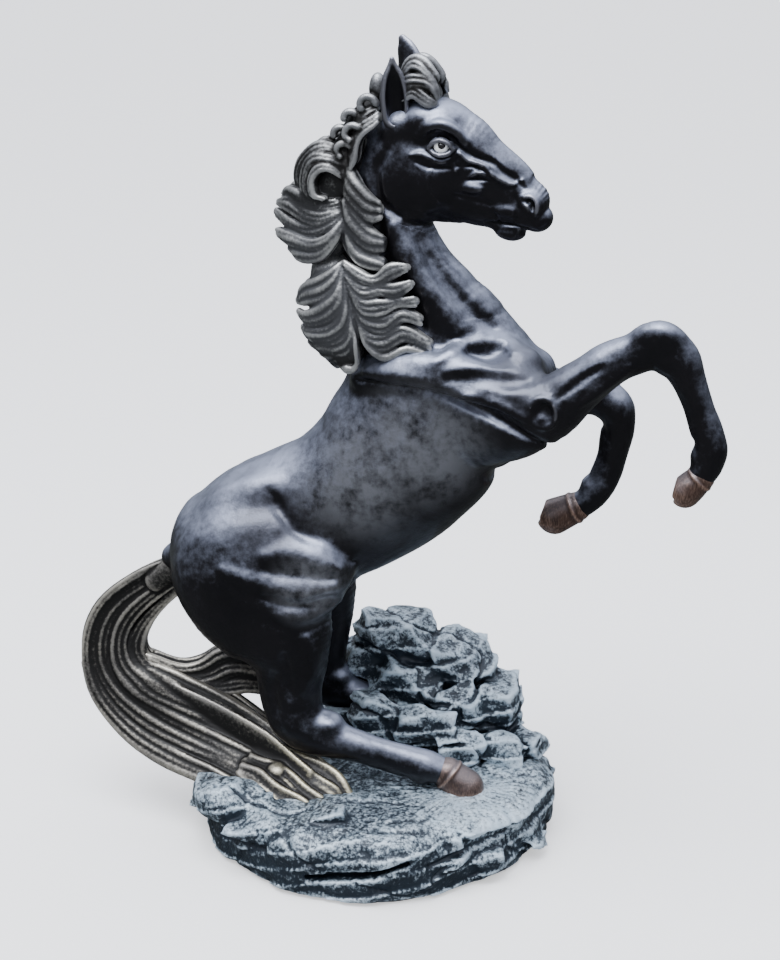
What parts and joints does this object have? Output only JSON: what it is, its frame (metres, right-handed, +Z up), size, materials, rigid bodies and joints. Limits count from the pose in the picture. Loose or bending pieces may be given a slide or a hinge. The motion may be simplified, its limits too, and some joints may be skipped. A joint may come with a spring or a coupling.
{
  "type": "horse statue",
  "caption": "Bronze statuette of a rearing horse with blown mane and long swept tail, standing on a rough round rock base.",
  "frame": {"origin": "middle of the rock base, on the plane the felt underside rests on", "axes": "+Z up; the horse faces +X; its right side is towards -Y"},
  "size_m": [0.4813, 0.2592, 0.5772],
  "materials": {
    "steel": "zinc plated",
    "felt": "pressed felt",
    "bronze_hair": "dark patina, brass rubbed through on the ridges",
    "bronze_skin": "glossy dark patina",
    "eye_white": "gloss",
    "hoof_bronze": "copper-brown patina",
    "eye_dark": "gloss",
    "rock_bronze": "dark blue-black, pale highlights on the edges"
  },
  "bodies": {
    "root": {"base_studs": "steel", "felt_pad": "felt", "foreleg_dowels": "steel", "forelock": "bronze_hair", "head": "bronze_skin", "head_sleeve": "steel", "hind_leg_dowels": "steel", "left_ear": "bronze_skin", "left_eye_white": "eye_white", "left_fore_hoof": "hoof_bronze", "left_foreleg": "bronze_skin", "left_hind_hoof": "hoof_bronze", "left_hind_leg": "bronze_skin", "left_pupil": "eye_dark", "mane_lower": "bronze_hair", "mane_upper": "bronze_hair", "neck": "bronze_skin", "neck_sleeve": "steel", "right_ear": "bronze_skin", "right_eye_white": "eye_white", "right_fore_hoof": "hoof_bronze", "right_foreleg": "bronze_skin", "right_hind_hoof": "hoof_bronze", "right_hind_leg": "bronze_skin", "right_pupil": "eye_dark", "rock_base": "rock_bronze", "rock_outcrop": "rock_bronze", "stud_nuts": "steel", "stud_washers": "steel", "tail": "bronze_hair", "tail_dowel": "steel", "tail_side_lock": "bronze_hair", "torso": "bronze_skin"}
  },
  "joints": []
}
